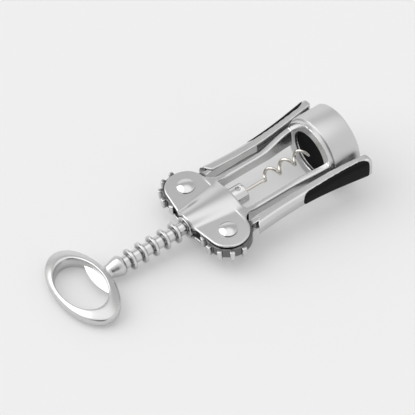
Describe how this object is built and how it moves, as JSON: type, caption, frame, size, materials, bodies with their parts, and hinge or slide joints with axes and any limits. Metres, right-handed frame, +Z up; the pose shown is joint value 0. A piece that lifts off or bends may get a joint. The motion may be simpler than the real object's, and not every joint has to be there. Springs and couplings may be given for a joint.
{
  "type": "wing corkscrew",
  "caption": "Wing corkscrew: a geared pair of levers drives a ring rack, a spinning handle turns the worm, and a bell seats on the bottle. Oval handle with cap opener.",
  "frame": {"origin": "on the floor, under the middle of the tool as it lies on its back", "axes": "+X from the handle towards the bell mouth, +Y towards the left lever, +Z up"},
  "size_m": [0.17, 0.0634, 0.0393],
  "materials": {
    "satin_nickel": "satin",
    "polished_chrome": "polished",
    "brushed_bell": "brushed",
    "worm_steel": "polished",
    "black_plastic": "matte",
    "black_rubber": "matte"
  },
  "bodies": {
    "frame": {"frame": "satin_nickel", "bell_sleeve": "brushed_bell", "bottle_guide": "black_plastic", "left_pivot_rivet": "polished_chrome", "right_pivot_rivet": "polished_chrome"},
    "left_lever": {"left_gear_arm": "polished_chrome", "left_lever_shell": "satin_nickel", "left_grip": "black_rubber"},
    "right_lever": {"right_gear_arm": "polished_chrome", "right_lever_shell": "satin_nickel", "right_grip": "black_rubber"},
    "rack": {"ring_rack": "polished_chrome"},
    "spindle": {"spindle": "polished_chrome", "handle": "satin_nickel", "opener_lip": "polished_chrome", "worm": "worm_steel", "worm_pin": "polished_chrome"}
  },
  "joints": [
    {"name": "left_lever_pivot", "type": "hinge", "parent": "frame", "child": "left_lever", "pos_m": [0.00232, 0.0177, 0.01229], "axis": [-0.1006, 0, 0.9949], "range_deg": [0, 145]},
    {"name": "right_lever_pivot", "type": "hinge", "parent": "frame", "child": "right_lever", "pos_m": [0.00232, -0.0177, 0.01229], "axis": [-0.1006, 0, 0.9949], "range_deg": [-145, 0]},
    {"name": "rack_slide", "type": "slide", "parent": "frame", "child": "rack", "axis": [0.9949, 0, 0.1006], "range_m": [0, 0.0345]},
    {"name": "handle_spin", "type": "hinge", "parent": "rack", "child": "spindle", "pos_m": [0.00232, 0, 0.01229], "axis": [0.9949, 0, 0.1006], "continuous": true}
  ],
  "couplings": [
    {"joint": "right_lever_pivot", "follows": "left_lever_pivot", "ratio": -1},
    {"joint": "rack_slide", "follows": "left_lever_pivot", "m_per_rad": 0.013552}
  ]
}
